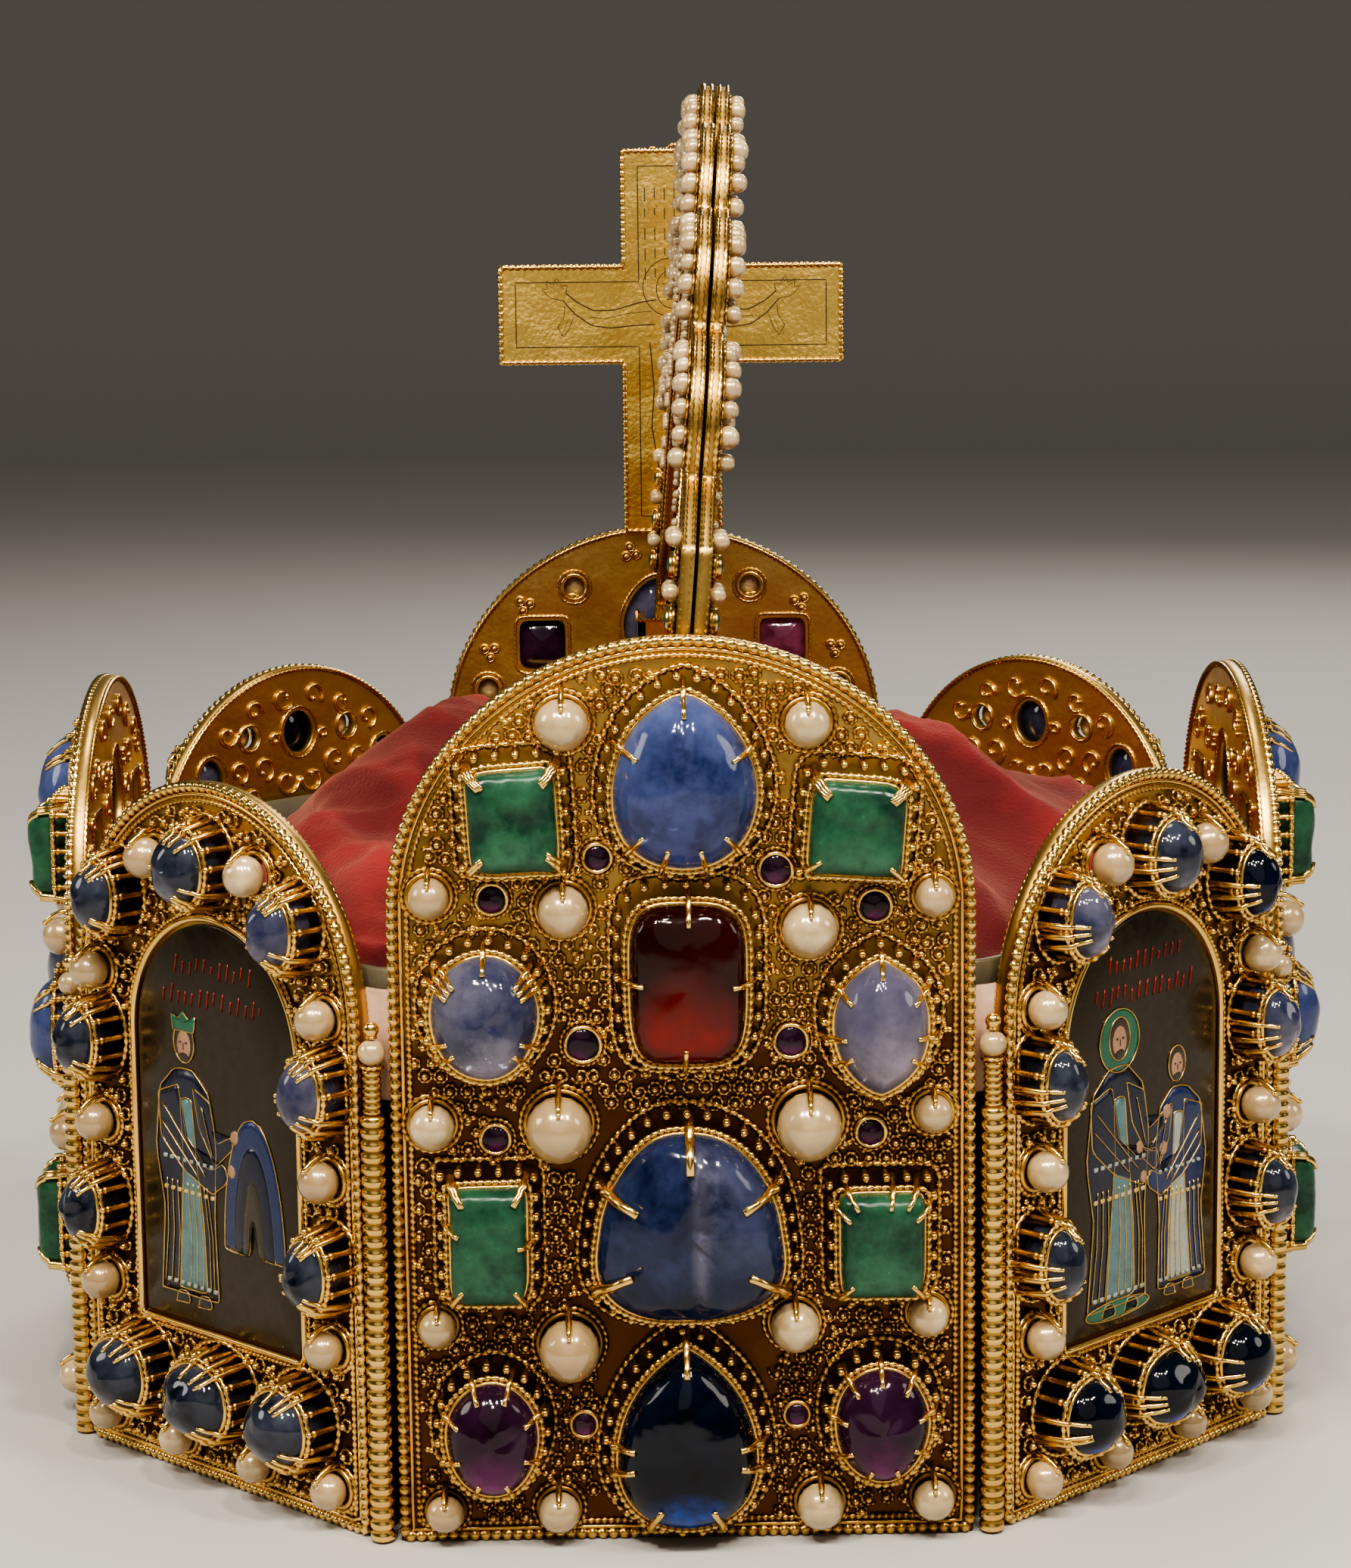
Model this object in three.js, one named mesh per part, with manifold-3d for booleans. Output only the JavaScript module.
// An eight-sided plate crown: four stone plates and four picture plates joined by hinge pins, a double arch from
// front to back, a standing cross, an inner band with its leather, and a velvet cap.
// Millimetres, +Z up, the neck plate faces -Y and the forehead plate with the cross faces +Y.

import * as THREE from "three";
import { mergeVertices, toCreasedNormals } from "three/addons/utils/BufferGeometryUtils.js";
import Module from "manifold-3d";

const wasm = await Module();
wasm.setup();

// Ring of plates
const stoneSpacing = 100; // hinge line to hinge line of the neck and forehead plates
const templeSpacing = 100; // the same of the two temple plates
const pictureSpacing = 80; // the same of the four picture plates
const cornerTurn = Math.PI / 4; // how far one plate turns from the next
const plateThickness = 2;
const plateSetIn = 1; // from the hinge lines in to the middle of the plates' thickness
const hingeRoom = 3; // from a hinge line to the edge of a plate
const neckHeight = 149;
const foreheadHeight = 148;
const templeHeight = 130;
const pictureHeight = 122;
const stoneArchRise = 44; // rise of the rounded top of a neck or forehead plate
const templeArchRise = 40;
const pictureArchRise = 37;
const archSteps = 9; // straight lengths in a plate's rounded top
const rimWidth = 1.8; // raised edge round every plate
const rimHeight = 1.3;
const clearance = 0.3; // between pieces that touch

// Hinge pins
const barrelRadius = 2.1;
const barrelTop = 79;
const hingePearlRadius = 2.2;
const pinBallRadius = 1.5;
const pinSides = 5;

// Settings
const colletFlare = 1; // how much wider a collet is at the plate than at its top
const colletLip = 1; // metal round the stone at the top of its collet
const seatDepth = 1.2; // how deep a stone sits in its collet
const buried = 0.4; // how far a setting is sunk in the plate, so that they are one casting
const pearlStemShare = 0.6; // a pearl's stem against the pearl
const pearlLift = 1.2; // height of a pearl's middle above the plate, against its radius
const stoneSides = 6;
const largeStoneSides = 8;
const pearlSides = 5;
const smallPearlSides = 4;

// Inner band and its leather
const bandTop = 95;
const bandDepth = 18;
const bandThickness = 1.5;
const leatherTop = 91.5;
const leatherThickness = 1.2;

// Cap
const capThickness = 2.5;
const capRimLow = 78;
const capRimHigh = 82;
const capHeight = 123;
const capSides = 20;
const capDip = 7; // how far the middle sinks below the puffs
const capPuff = 4; // height of the puffs

// Arch
const archStrip = 2.2; // thickness of each of the two strips
const archGap = 0.6; // between the two strips
const archFootDepth = 28; // from the top of the forehead plate down to the arch's feet
const archSpring = 13; // from the arch's feet up to the centre of its curve
const archLobes = 8;
const lobeCircle = 91; // radius of the arc that the lobes' centres lie on
const lobeRadius = 14.5;
const lobePitch = 16.6 * (Math.PI / 180);
const archInner = 75;
const footWidth = 13; // of the tongues at the arch's two ends
const archLean = 4.5 * (Math.PI / 180); // the arch leans to the right, as it stands today
const archBeadHeight = 3.4;
const archBeadRadius = 2.4;
const archBeadInset = 1.3; // from a lobe's edge to its beads
const archBeadsPerLobe = 2;
const archBeadSpread = 0.55; // of half a turn

// Cross
const crossWidth = 73;
const crossHeight = 81;
const crossArm = 20.5;
const crossThickness = 2;
const crossFootDepth = 1; // the cross's foot below the top of the forehead plate
const crossArmRise = 6; // the arms stand this much above the middle of the cross
const crossShift = 2.6; // the cross stands a little to the right of the middle
const tangWidth = 6;

// Socket for the arch and the cross
const socketWall = 1.6;
const socketHeight = 12;
const socketFloor = 2;
const socketLean = 1; // extra half width for the leaning arch

// Enamel pictures
const pictureWidth = 42;
const pictureLow = 27;
const pictureTopDepth = 24; // from the top of the plate down to the top of the picture
const pictureThickness = 1.2;

const archBottom = foreheadHeight - archFootDepth;
const archCentreZ = archBottom + archSpring;
const crossFootZ = foreheadHeight - crossFootDepth;

const gold = { color: 0xd9a136, metalness: 1, roughness: 0.3 };
const stoneColours = {
  sapphire: 0x24408f,
  darkSapphire: 0x0f1c4a,
  paleSapphire: 0x9fb0d8,
  emerald: 0x1f7a4a,
  garnet: 0x7a1408,
  amethyst: 0x3a1a3a,
  tourmaline: 0x9a3a66,
};

const material = (facts) => new THREE.MeshStandardMaterial(facts);

// A closed geometry as a solid for joining and cutting.
function solidOf(geometry) {
  const bare = geometry.index ? geometry.toNonIndexed() : geometry.clone();
  for (const name of ["normal", "uv"]) bare.deleteAttribute(name);
  const merged = mergeVertices(bare, 1e-4);
  const triVerts = new Uint32Array(merged.index.array);
  return new wasm.Manifold(
    new wasm.Mesh({ numProp: 3, vertProperties: merged.attributes.position.array, triVerts }),
  );
}

// A solid as a geometry that three.js can draw.
function geometryOf(solid) {
  const mesh = solid.getMesh();
  const places = new Float32Array(mesh.numVert * 3);
  for (let i = 0; i < mesh.numVert; i++) {
    places.set(mesh.vertProperties.subarray(i * mesh.numProp, i * mesh.numProp + 3), i * 3);
  }
  const geometry = new THREE.BufferGeometry();
  geometry.setAttribute("position", new THREE.BufferAttribute(places, 3));
  geometry.setIndex(new THREE.BufferAttribute(mesh.triVerts, 1));
  return toCreasedNormals(geometry, 0.6);
}

const joined = (solids) => solids.reduce((all, one) => all.add(one));

// A solid through rings of equally many points, closed flat at both ends or drawn up to a tip.
function loft(rings, tip) {
  const count = rings[0].length;
  const places = rings.flat().flatMap((p) => [p.x, p.y, p.z]);
  const faces = [];
  for (let r = 0; r + 1 < rings.length; r++) {
    for (let i = 0; i < count; i++) {
      const a = r * count + i;
      const b = r * count + ((i + 1) % count);
      faces.push(a, b, b + count, a, b + count, a + count);
    }
  }
  const last = (rings.length - 1) * count;
  for (let i = 1; i + 1 < count; i++) {
    faces.push(0, i + 1, i);
    if (!tip) faces.push(last, last + i, last + i + 1);
  }
  if (tip) {
    places.push(tip.x, tip.y, tip.z);
    for (let i = 0; i < count; i++) faces.push(last + i, last + ((i + 1) % count), last + count);
  }
  const geometry = new THREE.BufferGeometry();
  geometry.setAttribute("position", new THREE.Float32BufferAttribute(places, 3));
  geometry.setIndex(faces);
  return solidOf(geometry);
}

// A flat outline, given as points of x and height, as a slab that runs outwards (-Y) from y = back.
function slab(points, back, thickness) {
  const geometry = new THREE.ExtrudeGeometry(new THREE.Shape(points), {
    depth: thickness,
    bevelEnabled: false,
  });
  geometry.rotateX(Math.PI / 2);
  geometry.translate(0, back, 0);
  return solidOf(geometry);
}

// The outline of a stone: square < 1 gives a cushion, 1 an oval, > 1 points; taper draws in the top.
function stoneOutline(width, height, square, taper, sides) {
  const points = [];
  for (let i = 0; i < sides; i++) {
    const t = ((i + 0.5) / sides) * 2 * Math.PI;
    const c = Math.sign(Math.cos(t)) * Math.abs(Math.cos(t)) ** square;
    const s = Math.sign(Math.sin(t)) * Math.abs(Math.sin(t)) ** square;
    points.push(new THREE.Vector2(c * (1 - taper * s), s));
  }
  const reach = Math.max(...points.map((p) => Math.abs(p.x)));
  const rise = Math.max(...points.map((p) => Math.abs(p.y)));
  return points.map((p) => new THREE.Vector2(((p.x / reach) * width) / 2, ((p.y / rise) * height) / 2));
}

// A stone's outline as a ring at a height above the plate, grown by an offset and scaled.
function stoneRing(stone, offset, share, above) {
  const width = stone.width * share + 2 * offset;
  const height = stone.height * share + 2 * offset;
  const sides = stone.sides ?? stoneSides;
  return stoneOutline(width, height, stone.square ?? 1, stone.taper ?? 0, sides).map(
    (p) => new THREE.Vector3(stone.x + p.x, -plateThickness / 2 - above, stone.z + p.y),
  );
}

// The cabochon itself, from the floor of its seat to its crown.
function cabochon(stone) {
  const floor = stone.lift - seatDepth + clearance;
  return loft([
    stoneRing(stone, 0, 1, floor),
    stoneRing(stone, 0, 1, stone.lift + stone.dome * 0.15),
    stoneRing(stone, 0, 0.6, stone.lift + stone.dome),
  ]);
}

// A collet, open at the top where its stone sits.
function collet(stone) {
  const body = loft([
    stoneRing(stone, colletLip + colletFlare, 1, -buried),
    stoneRing(stone, colletLip, 1, stone.lift),
  ]);
  const seat = loft([
    stoneRing(stone, clearance, 1, stone.lift - seatDepth),
    stoneRing(stone, clearance, 1, stone.lift + seatDepth),
  ]);
  return body.subtract(seat);
}

// A stone and its collet as one solid; a pointed one rises to a tip.
function setStone(stone) {
  const rings = [stoneRing(stone, colletFlare, 1, -buried), stoneRing(stone, 0, 1, stone.lift)];
  const top = stone.lift + stone.dome;
  if (stone.pointed) return loft(rings, new THREE.Vector3(stone.x, -plateThickness / 2 - top, stone.z));
  return loft([...rings, stoneRing(stone, 0, 0.5, top)]);
}

// A pearl, drawn in to its stem below.
function pearl({ x, z, radius, sides = pearlSides }) {
  const round = { x, z, width: radius * 2, height: radius * 2, sides };
  const lift = radius * pearlLift;
  const tip = new THREE.Vector3(x, -plateThickness / 2 - lift - radius * 0.9, z);
  return loft([stoneRing(round, 0, pearlStemShare, -buried), stoneRing(round, 0, 1, lift)], tip);
}

// A plate's outline: straight sides up to the springing, then an arched top.
function plateOutline(halfWidth, height, rise, inset) {
  const w = halfWidth - inset;
  const points = [new THREE.Vector2(-w, inset), new THREE.Vector2(w, inset)];
  for (let i = 0; i <= archSteps; i++) {
    const t = (i / archSteps) * Math.PI;
    points.push(new THREE.Vector2(w * Math.cos(t), height - rise + (rise - inset) * Math.sin(t)));
  }
  return points;
}

// The bare plate with its raised rim.
function barePlate(halfWidth, height, rise) {
  const back = plateThickness / 2;
  const edge = plateOutline(halfWidth, height, rise, 0);
  const field = plateOutline(halfWidth, height, rise, rimWidth);
  const full = slab(edge, back, plateThickness + rimHeight);
  return full.subtract(slab(field, -plateThickness / 2, 2 * rimHeight));
}

// Half the width that a plate keeps between its two hinge pins.
const halfPlate = (spacing) => spacing / 2 - hingeRoom;

// Stones and pearls are listed in hundredths: z of the plate's height, all else of its spacing.
function laid(table, spacing, height) {
  const sizes = ["x", "width", "height", "lift", "dome", "radius"];
  return table.map((row) => {
    const scaled = sizes.filter((key) => key in row).map((key) => [key, (row[key] * spacing) / 100]);
    return { ...row, ...Object.fromEntries(scaled), z: (row.z * height) / 100 };
  });
}

// Columns of a stone plate, from its middle
const edgeColumn = 39.6;
const stoneColumn = 31.6;
const pearlColumn = 19.8;
const gemColumn = 29.6;
const innerGemColumn = 16.3;

// The twelve stones of the neck plate, seen from outside
const neckStones = [
  { name: "neck_egg_sapphire", kind: "sapphire", x: 0.6, z: 84.9, width: 23.5, height: 28.5, taper: 0.24,
    sides: largeStoneSides, lift: 5, dome: 7 },
  { name: "neck_upper_left_emerald", kind: "emerald", x: -26.5, z: 80.9, width: 15, height: 17.5,
    sides: 4, lift: 5, dome: 4 },
  { name: "neck_upper_right_emerald", kind: "emerald", x: 27.8, z: 79.5, width: 16, height: 16,
    sides: 4, lift: 5, dome: 4 },
  { name: "neck_left_pale_sapphire", kind: "paleSapphire", x: -stoneColumn, z: 59.7, width: 17.5, height: 20.5,
    lift: 5, dome: 6 },
  { name: "neck_garnet", kind: "garnet", x: 0.8, z: 63.1, width: 19, height: 26.5, square: 0.65,
    sides: largeStoneSides, lift: 4.5, dome: 5.5 },
  { name: "neck_right_moonstone", kind: "paleSapphire", x: stoneColumn, z: 58.1, width: 15.5, height: 22.5,
    square: 1.2, lift: 5, dome: 6 },
  { name: "neck_lower_left_emerald", kind: "emerald", x: -stoneColumn, z: 34.8, width: 13.2, height: 20.5,
    sides: 4, lift: 5, dome: 4.5 },
  { name: "neck_split_sapphire", kind: "sapphire", x: 0.8, z: 36.4, width: 31, height: 31.5, square: 0.75,
    taper: 0.34, sides: largeStoneSides, lift: 4.5, dome: 7.5 },
  { name: "neck_lower_right_emerald", kind: "emerald", x: stoneColumn, z: 34.2, width: 14.5, height: 18.2,
    sides: 4, lift: 5, dome: 4.5 },
  { name: "neck_left_amethyst", kind: "amethyst", x: -stoneColumn, z: 12.8, width: 15.2, height: 19.5,
    lift: 5, dome: 5 },
  { name: "neck_drop_sapphire", kind: "darkSapphire", x: 0, z: 12.6, width: 23.5, height: 31, taper: 0.4,
    sides: largeStoneSides, lift: 4.5, dome: 6.5 },
  { name: "neck_right_amethyst", kind: "amethyst", x: stoneColumn, z: 13.8, width: 15.5, height: 19.5,
    lift: 5, dome: 5 },
];

// The twelve stones of the forehead plate, seen from outside
const foreheadStones = [
  { name: "forehead_egg_sapphire", kind: "paleSapphire", x: 0, z: 86.1, width: 23, height: 26, taper: 0.2,
    sides: largeStoneSides, lift: 5, dome: 7 },
  { name: "forehead_upper_left_tourmaline", kind: "tourmaline", x: -26, z: 82.8, width: 13.5, height: 14.5,
    sides: 4, lift: 5, dome: 4 },
  { name: "forehead_upper_right_amethyst", kind: "amethyst", x: 26, z: 82.8, width: 13.5, height: 14.5,
    sides: 4, lift: 5, dome: 4 },
  { name: "forehead_left_emerald", kind: "emerald", x: -stoneColumn, z: 59.5, width: 15, height: 19,
    sides: 4, lift: 5, dome: 4.5 },
  { name: "forehead_heart_sapphire", kind: "sapphire", x: 0, z: 62.5, width: 24, height: 27, square: 0.8,
    taper: -0.28, sides: largeStoneSides, lift: 4.5, dome: 7.5 },
  { name: "forehead_right_emerald", kind: "emerald", x: stoneColumn, z: 59.5, width: 15, height: 19,
    sides: 4, lift: 5, dome: 4.5 },
  { name: "forehead_left_sapphire", kind: "sapphire", x: -stoneColumn, z: 35.1, width: 15.5, height: 20,
    lift: 5, dome: 5.5 },
  { name: "forehead_square_emerald", kind: "emerald", x: 0, z: 36.5, width: 25, height: 27, sides: 4,
    lift: 4.5, dome: 6 },
  { name: "forehead_right_sapphire", kind: "sapphire", x: stoneColumn, z: 35.1, width: 15.5, height: 20,
    lift: 5, dome: 5.5 },
  { name: "forehead_left_amethyst", kind: "amethyst", x: -stoneColumn, z: 13.2, width: 15, height: 19,
    square: 0.7, lift: 5, dome: 5 },
  { name: "forehead_oval_sapphire", kind: "darkSapphire", x: 0, z: 12.5, width: 24, height: 28,
    sides: largeStoneSides, lift: 4.5, dome: 6.5 },
  { name: "forehead_right_amethyst", kind: "amethyst", x: stoneColumn, z: 13.2, width: 15, height: 19,
    square: 0.7, lift: 5, dome: 5 },
];

const bothSides = (places) => places.flatMap((p) => [{ ...p, x: -p.x }, p]);

// Pearls of a stone plate
const stonePlatePearls = bothSides([
  { x: pearlColumn - 0.5, z: 90.6, radius: 4.1 },
  { x: edgeColumn, z: 71.8, radius: 3.5 },
  { x: pearlColumn - 0.5, z: 69.8, radius: 4.6 },
  { x: edgeColumn, z: 47.7, radius: 3.6 },
  { x: pearlColumn, z: 47.2, radius: 5.4 },
  { x: edgeColumn, z: 25, radius: 3.3 },
  { x: pearlColumn - 1.5, z: 23.5, radius: 4.7 },
  { x: edgeColumn, z: 4.3, radius: 3.4 },
  { x: pearlColumn + 1, z: 4.2, radius: 3.6 },
]);

// Small dark gems of a stone plate, in plain collets
const smallGem = { width: 4, height: 4, lift: 3, dome: 1, sides: 4, pointed: true };
const stonePlateGems = bothSides([
  { ...smallGem, x: innerGemColumn - 2.5, z: 75.5 },
  { ...smallGem, x: gemColumn, z: 71.5 },
  { ...smallGem, x: innerGemColumn, z: 55.9, height: 5.2 },
  { ...smallGem, x: gemColumn, z: 45.6 },
  { ...smallGem, x: innerGemColumn + 0.5, z: 13.6 },
]);

// Stones and pearls of a temple plate
const templeEdge = 39.6;
const templeStones = [
  { x: 0, z: 83.1, width: 20, height: 23, taper: 0.2, lift: 5, dome: 6.5 },
  { x: 0, z: 56.2, width: 22, height: 26, square: 0.8, lift: 4.5, dome: 6.5 },
  { x: 0, z: 18.5, width: 22, height: 30, taper: 0.3, lift: 4.5, dome: 6.5 },
  ...bothSides([
    { x: templeEdge - 14, z: 78.5, width: 13, height: 16, square: 0.6, lift: 5, dome: 4.5 },
    { x: templeEdge - 7, z: 53.8, width: 14, height: 19, lift: 5, dome: 5 },
    { x: templeEdge - 7, z: 27.7, width: 13.5, height: 17, sides: 4, lift: 5, dome: 4.5 },
  ]),
];
const templePearls = bothSides([
  { x: templeEdge - 3, z: 67.7, radius: 3.6 },
  { x: templeEdge / 2 - 3, z: 70, radius: 4 },
  { x: templeEdge, z: 40.4, radius: 3.4 },
  { x: templeEdge / 2 - 2, z: 38.5, radius: 4.6 },
  { x: templeEdge, z: 5.4, radius: 3.4 },
  { x: templeEdge / 2 - 1, z: 5.4, radius: 3.6 },
]);

// Stones and pearls of a picture plate, round the enamel
const pictureBorder = 37.5; // middle of the border beside the enamel
const pictureStones = [
  { x: 0, z: 88.7, width: 13.8, height: 15.6, lift: 7.5, dome: 5.6 },
  { x: 0, z: 13.5, width: 19.4, height: 16.2, lift: 8.1, dome: 6.2 },
  ...bothSides([
    { x: pictureBorder - 8.1, z: 82.4, width: 10.6, height: 15, lift: 7.5, dome: 5.6, pointed: true },
    { x: pictureBorder, z: 61.1, width: 10.2, height: 15, lift: 8.1, dome: 5, pointed: true },
    { x: pictureBorder, z: 36.5, width: 10.2, height: 15, lift: 8.1, dome: 5, pointed: true },
    { x: pictureBorder - 10.6, z: 13.5, width: 16.9, height: 16.2, lift: 8.1, dome: 6.2 },
  ]),
];
const picturePearls = bothSides([
  { x: 16.5, z: 88.7, radius: 4.5 },
  { x: pictureBorder, z: 70.9, radius: 4.4 },
  { x: pictureBorder, z: 48.8, radius: 4.5 },
  { x: pictureBorder, z: 25.4, radius: 4.4 },
  { x: pictureBorder, z: 5.6, radius: 4.1 },
  { x: 13.1, z: 6.6, radius: 4 },
]);

// The enamel's outline: straight sides and an arched top.
function pictureOutline(inset) {
  const half = pictureWidth / 2 - inset;
  return plateOutline(half, pictureHeight - pictureTopDepth - inset, half, 0).map((p) =>
    p.y > 0 ? p : new THREE.Vector2(p.x, pictureLow + inset),
  );
}

// The eight corners of the ring, where the hinge pins stand
const sideReach = stoneSpacing / 2 + pictureSpacing * Math.cos(cornerTurn);
const frontReach = templeSpacing / 2 + pictureSpacing * Math.sin(cornerTurn);
const corners = [
  [-stoneSpacing / 2, -frontReach],
  [stoneSpacing / 2, -frontReach],
  [sideReach, -templeSpacing / 2],
  [sideReach, templeSpacing / 2],
  [stoneSpacing / 2, frontReach],
  [-stoneSpacing / 2, frontReach],
  [-sideReach, templeSpacing / 2],
  [-sideReach, -templeSpacing / 2],
].map(([x, y]) => new THREE.Vector2(x, y));

// The arch and the cross stand this far in from the forehead and neck plates' inner faces.
const plateLine = frontReach - plateSetIn; // middle of a neck or forehead plate, from the crown's middle
const plateFace = plateLine - plateThickness / 2;
const crossFront = plateFace - clearance;
const archReach = crossFront - crossThickness - clearance;
const archHalf = archGap / 2 + archStrip; // half the thickness of the whole arch

// One strip of the arch seen from the side, as points of y and height.
function archOutline(steps) {
  const points = [];
  const first = Math.PI / 2 + ((archLobes - 1) / 2) * lobePitch;
  const halfOpening = Math.asin(Math.min(1, (lobeCircle * Math.sin(lobePitch / 2)) / lobeRadius));
  for (let lobe = 0; lobe < archLobes; lobe++) {
    const at = first - lobe * lobePitch;
    const y = lobeCircle * Math.cos(at);
    const z = archCentreZ + lobeCircle * Math.sin(at);
    for (let i = 0; i <= steps; i++) {
      const turn = at + halfOpening * (1 - (2 * i) / steps);
      points.push(new THREE.Vector2(y + lobeRadius * Math.cos(turn), z + lobeRadius * Math.sin(turn)));
    }
  }
  const shoulder = archCentreZ + lobeCircle * Math.sin(first - (archLobes - 0.5) * lobePitch) - lobeRadius / 2;
  points.push(new THREE.Vector2(archReach, shoulder), new THREE.Vector2(archReach, archBottom));
  points.push(new THREE.Vector2(archReach - footWidth, archBottom));
  points.push(new THREE.Vector2(archReach - footWidth, archCentreZ));
  const innerSteps = archLobes * 2;
  for (let i = 0; i <= innerSteps; i++) {
    const t = (0.06 + 0.88 * (i / innerSteps)) * Math.PI;
    points.push(new THREE.Vector2(archInner * Math.cos(t), archCentreZ + archInner * Math.sin(t)));
  }
  points.push(new THREE.Vector2(footWidth - archReach, archCentreZ));
  points.push(new THREE.Vector2(footWidth - archReach, archBottom));
  points.push(new THREE.Vector2(-archReach, archBottom), new THREE.Vector2(-archReach, shoulder));
  return points.reverse();
}

// A strip of the arch with the large pearls of its lobes; side is -1 for the left one and 1 for the right one.
function archStripSolid(side) {
  const shape = new THREE.Shape(archOutline(4));
  const geometry = new THREE.ExtrudeGeometry(shape, { depth: archStrip, bevelEnabled: false });
  geometry.rotateX(Math.PI / 2);
  geometry.rotateZ(Math.PI / 2);
  geometry.translate(side > 0 ? archGap / 2 : -archGap / 2 - archStrip, 0, 0);
  const parts = [solidOf(geometry)];
  const first = Math.PI / 2 + ((archLobes - 1) / 2) * lobePitch;
  for (let lobe = 0; lobe < archLobes; lobe++) {
    for (let i = 0; i < archBeadsPerLobe; i++) {
      const at = first - lobe * lobePitch;
      const turn = at + (i - (archBeadsPerLobe - 1) / 2) * (Math.PI / archBeadsPerLobe) * archBeadSpread;
      const out = lobeRadius - archBeadRadius - archBeadInset;
      const y = lobeCircle * Math.cos(at) + out * Math.cos(turn);
      const z = archCentreZ + lobeCircle * Math.sin(at) + out * Math.sin(turn);
      const bead = [0, 1].map((end) =>
        Array.from({ length: 4 }, (_, k) => {
          const a = (side * k * 2 * Math.PI) / 4;
          const r = archBeadRadius * (end ? 0.55 : 1);
          const x = side * (archHalf - buried + end * (archBeadHeight + buried));
          return new THREE.Vector3(x, y + r * Math.cos(a), z + r * Math.sin(a));
        }),
      );
      parts.push(loft(bead));
    }
  }
  return joined(parts);
}

// Turns a solid with the leaning arch, about the line through the sockets.
function leaned(solid) {
  const turn = new THREE.Matrix4()
    .makeTranslation(0, 0, archBottom)
    .multiply(new THREE.Matrix4().makeRotationY(archLean))
    .multiply(new THREE.Matrix4().makeTranslation(0, 0, -archBottom));
  return solid.transform(turn.toArray());
}

function box(low, high) {
  const size = high.map((v, i) => v - low[i]);
  const geometry = new THREE.BoxGeometry(...size);
  geometry.translate(...low.map((v, i) => v + size[i] / 2));
  return solidOf(geometry);
}

// The socket behind the neck or forehead plate, in the plate's own frame (outwards is -Y).
// It holds the foot of the arch and, behind the forehead plate, the tang of the cross in a slot of its own.
function socket(holdsCross) {
  const deep = plateLine - archReach + footWidth + clearance + socketWall;
  const half = archHalf + clearance + socketWall + socketLean;
  const inner = plateThickness / 2;
  const low = archBottom - socketFloor - clearance;
  const high = low + socketHeight;
  const outside = box([-half, inner - buried, low], [half, deep, high]);
  const foot = box(
    [-archHalf - clearance, plateLine - archReach - clearance, archBottom - clearance],
    [archHalf + clearance, deep - socketWall, high + socketHeight],
  );
  if (!holdsCross) return outside.subtract(leaned(foot));
  const slotSide = crossShift + tangWidth / 2 + clearance;
  const slotBack = inner + crossThickness + 2 * clearance;
  const wing = box([-slotSide - socketWall, inner - buried, low], [half, slotBack + socketWall, high]);
  const slot = box([-slotSide, inner, archBottom - clearance],
    [tangWidth / 2 - crossShift + clearance, slotBack, high + socketHeight]);
  const turned = leaned(foot.rotate([0, 0, 180])).rotate([0, 0, 180]);
  return outside.add(wing).subtract(slot).subtract(turned);
}

// Places a piece on plate number k, counted round from the neck plate.
function onPlate(k) {
  const group = new THREE.Group();
  const a = corners[k];
  const b = corners[(k + 1) % corners.length];
  const middle = a.clone().add(b).divideScalar(2);
  const reach = middle.length();
  middle.multiplyScalar((reach - plateSetIn) / reach);
  group.position.set(middle.x, middle.y, 0);
  group.rotation.z = Math.atan2(b.y - a.y, b.x - a.x);
  return group;
}

const crown = new THREE.Group();

function piece(parent, name, solid, facts) {
  const mesh = new THREE.Mesh(geometryOf(solid), material(facts));
  mesh.name = name;
  parent.add(mesh);
  return mesh;
}

// Neck and forehead plates with their twelve loose-set stones
function stonePlate(k, name, height, stones, behind) {
  const group = onPlate(k);
  const place = (table) => laid(table, stoneSpacing, height);
  const parts = [barePlate(halfPlate(stoneSpacing), height, stoneArchRise)];
  parts.push(...place(stones).map(collet), ...place(stonePlateGems).map(setStone));
  parts.push(...place(stonePlatePearls).map(pearl));
  piece(group, name, joined(parts).add(behind), gold);
  for (const stone of place(stones)) {
    piece(group, stone.name, cabochon(stone), { color: stoneColours[stone.kind], metalness: 0, roughness: 0.1 });
  }
  crown.add(group);
}

function templePlate(k, name) {
  const group = onPlate(k);
  const parts = [barePlate(halfPlate(templeSpacing), templeHeight, templeArchRise)];
  parts.push(...laid(templeStones, templeSpacing, templeHeight).map(setStone));
  parts.push(...laid(templePearls, templeSpacing, templeHeight).map(pearl));
  piece(group, name, joined(parts), gold);
  crown.add(group);
}

function picturePlate(k, place) {
  const group = onPlate(k);
  const front = -plateThickness / 2;
  const recess = slab(pictureOutline(-clearance), front + pictureThickness, pictureThickness * 2);
  const bare = barePlate(halfPlate(pictureSpacing), pictureHeight, pictureArchRise);
  const parts = [bare.subtract(recess)];
  parts.push(...laid(pictureStones, pictureSpacing, pictureHeight).map(setStone));
  parts.push(...laid(picturePearls, pictureSpacing, pictureHeight).map((p) => pearl({ ...p, sides: smallPearlSides })));
  piece(group, "picture_plate_" + place, joined(parts), gold);
  const panel = slab(pictureOutline(0), front + pictureThickness - clearance, pictureThickness);
  piece(group, "enamel_" + place, panel, { color: 0x2a2a3a, metalness: 0.2, roughness: 0.25 });
  crown.add(group);
}

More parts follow.
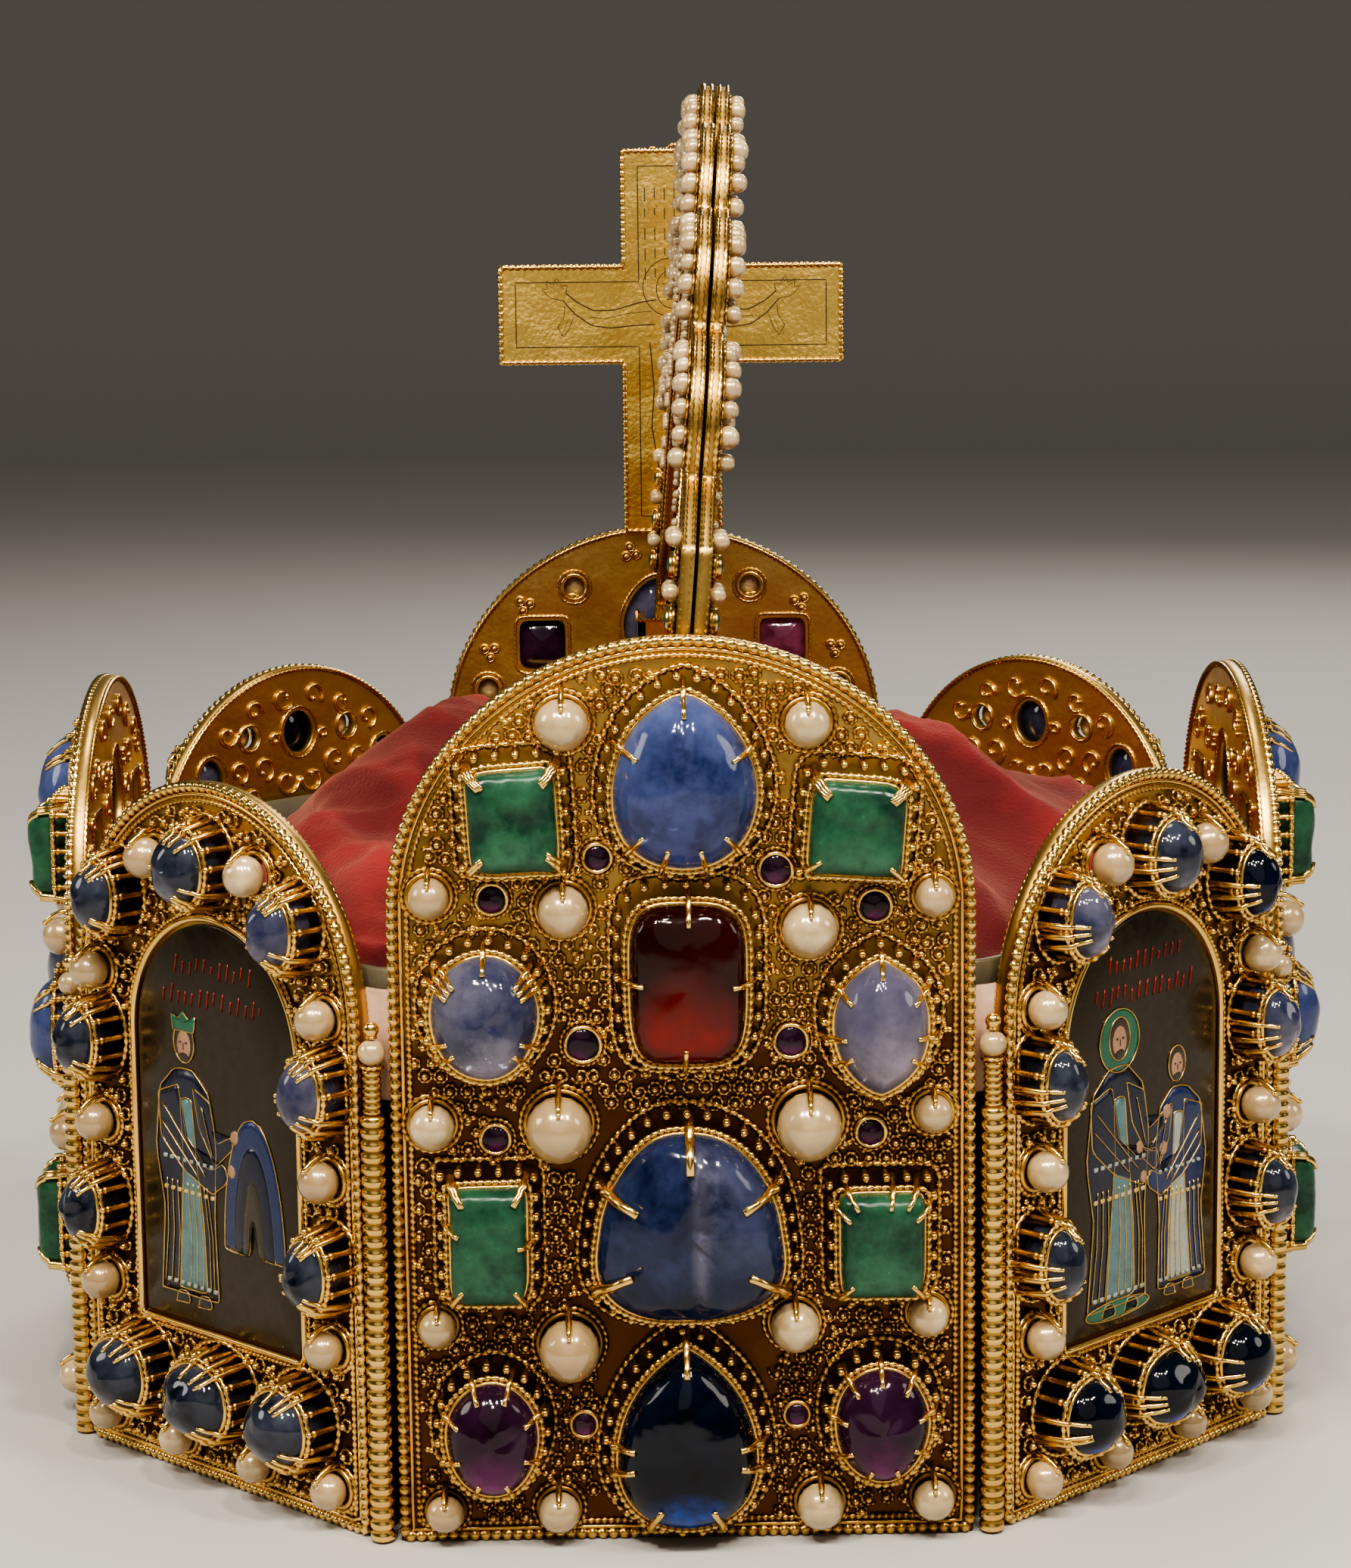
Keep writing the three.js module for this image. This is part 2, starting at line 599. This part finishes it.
// A hinge pin in its barrel, with a pearl and a gold ball on top
function hingePin(k) {
  const pearlZ = barrelTop + hingePearlRadius + barrelRadius / 2;
  const ballZ = pearlZ + hingePearlRadius + pinBallRadius;
  const profile = [
    [0, 0],
    [barrelRadius, 0],
    [barrelRadius, barrelTop],
    [pinBallRadius * 0.7, barrelTop],
    [hingePearlRadius, pearlZ],
    [pinBallRadius, ballZ],
    [0, ballZ + pinBallRadius],
  ].map(([r, z]) => new THREE.Vector2(r, z));
  const geometry = new THREE.LatheGeometry(profile, pinSides);
  geometry.rotateX(Math.PI / 2);
  geometry.translate(corners[k].x, corners[k].y, 0);
  piece(crown, "hinge_pin_" + (k + 1), solidOf(geometry), gold);
}

// The ring of corners drawn in by a distance measured square to the plates.
function ringOutline(inwards) {
  return corners.map((corner, k) => {
    const before = corners[(k + 7) % 8].clone().sub(corner).normalize();
    const after = corners[(k + 1) % 8].clone().sub(corner).normalize();
    const half = Math.acos(before.dot(after)) / 2;
    return corner.clone().add(before.add(after).normalize().multiplyScalar(inwards / Math.sin(half)));
  });
}

// An eight-sided strap between two distances in from the plates.
function strap(outer, thickness, low, high) {
  const shape = new THREE.Shape(ringOutline(outer));
  shape.holes.push(new THREE.Path(ringOutline(outer + thickness)));
  const geometry = new THREE.ExtrudeGeometry(shape, { depth: high - low, bevelEnabled: false });
  geometry.translate(0, 0, low);
  return solidOf(geometry);
}

const leatherIn = plateSetIn + plateThickness / 2 + clearance;
const bandIn = leatherIn + leatherThickness + clearance;
const capIn = bandIn + bandThickness + clearance;

// Height of the velvet over a share of the way out from the middle.
function capZ(share, around, low, top) {
  const dome = (1 - share ** 2.6) ** 0.75;
  const puffs = capPuff * Math.sin(Math.PI * share) ** 2 * Math.cos(4 * around);
  const dip = capDip * (1 - share / 0.45) ** 2 * (share < 0.45 ? 1 : 0);
  return low + (top - low) * dome + puffs - dip;
}

// The velvet cap: a hollow dome whose foot follows the inside of the band.
function cap() {
  const shares = [1, 0.88, 0.7, 0.45, 0.12];
  const wall = ringOutline(capIn);
  const apothems = wall.map((a, k) => {
    const b = wall[(k + 1) % 8];
    const along = b.clone().sub(a).normalize();
    const out = new THREE.Vector2(along.y, -along.x);
    return { out, far: a.dot(out) };
  });
  const reach = (angle) => {
    const way = new THREE.Vector2(Math.cos(angle), Math.sin(angle));
    return Math.min(...apothems.map(({ out, far }) => (way.dot(out) > 0.1 ? far / way.dot(out) : Infinity)));
  };
  const ring = (sides, share, inset, height) =>
    Array.from({ length: sides }, (_, i) => {
      const angle = ((i + 0.5) / sides) * 2 * Math.PI;
      const r = (reach(angle) - inset) * share;
      return new THREE.Vector3(r * Math.cos(angle), r * Math.sin(angle), height(share, angle));
    });
  const velvet = (share, angle) => capZ(share, angle, capRimHigh, capHeight);
  const valley = (share) => velvet(share, Math.PI / 4) - capThickness; // under the lowest of the velvet
  const outer = [ring(capSides, 1, 0, () => capRimLow), ...shares.map((s) => ring(capSides, s, 0, velvet))];
  const inner = [
    ring(capSides / 2, 1, capThickness, () => capRimLow - capThickness),
    ...[1, 0.7, 0.12].map((s) => ring(capSides / 2, s, capThickness, valley)),
  ];
  return loft(outer).subtract(loft(inner));
}

// The cross with its tang; its jewelled front faces outwards and its plain back faces the crown.
function cross() {
  const w = crossWidth / 2;
  const a = crossArm / 2;
  const top = crossFootZ + crossHeight;
  const middle = crossFootZ + crossHeight / 2 + crossArmRise;
  const outline = [
    [-a, crossFootZ], [a, crossFootZ], [a, middle - a], [w, middle - a], [w, middle + a],
    [a, middle + a], [a, top], [-a, top], [-a, middle + a], [-w, middle + a],
    [-w, middle - a], [-a, middle - a],
  ].map(([x, z]) => new THREE.Vector2(x, z));
  const back = crossThickness / 2;
  const plate = slab(outline, back, crossThickness);
  const [large, medium, small] = [0.58, 0.44, 0.3].map((share) => share * crossArm);
  const step = 0.83 * crossArm; // from the middle stone to the small ones above and below
  const spots = [
    [0, middle, large], [a - w, middle, medium], [w - a, middle, medium], [0, top - a, medium],
    [0, crossFootZ + large, medium], [-w / 2, middle, small], [w / 2, middle, small],
    [0, middle + step, small], [0, middle - step, small],
  ];
  const stones = spots.map(([x, z, size]) =>
    setStone({ x, z, width: size, height: size, lift: crossArm * 0.1, dome: crossArm * 0.12,
      sides: size > small ? stoneSides : 4, pointed: size === small }),
  );
  const tang = box([-tangWidth / 2, -back, archBottom], [tangWidth / 2, back, crossFootZ + a]);
  return joined([plate, ...stones, tang]).translate([-crossShift, 0, 0]);
}

stonePlate(0, "neck_plate", neckHeight, neckStones, socket(false));
picturePlate(1, "near_right");
templePlate(2, "right_temple_plate");
picturePlate(3, "far_right");
stonePlate(4, "forehead_plate", foreheadHeight, foreheadStones, socket(true));
picturePlate(5, "far_left");
templePlate(6, "left_temple_plate");
picturePlate(7, "near_left");
corners.forEach((_, k) => hingePin(k));

piece(crown, "iron_band", strap(bandIn, bandThickness, bandTop - bandDepth, bandTop), {
  color: 0x3a352c, metalness: 0.7, roughness: 0.5,
});
piece(crown, "leather_strip", strap(leatherIn, leatherThickness, leatherTop - bandDepth, leatherTop), {
  color: 0xd9a98a, metalness: 0, roughness: 0.8,
});
piece(crown, "velvet_cap", cap(), { color: 0x8e1228, metalness: 0, roughness: 0.9 });
piece(crown, "arch_left_strip", leaned(archStripSolid(-1)), gold);
piece(crown, "arch_right_strip", leaned(archStripSolid(1)), gold);

const crossPlace = onPlate(4);
crossPlace.position.y = crossFront - crossThickness / 2;
piece(crossPlace, "cross", cross(), gold);
crown.add(crossPlace);

export default crown;
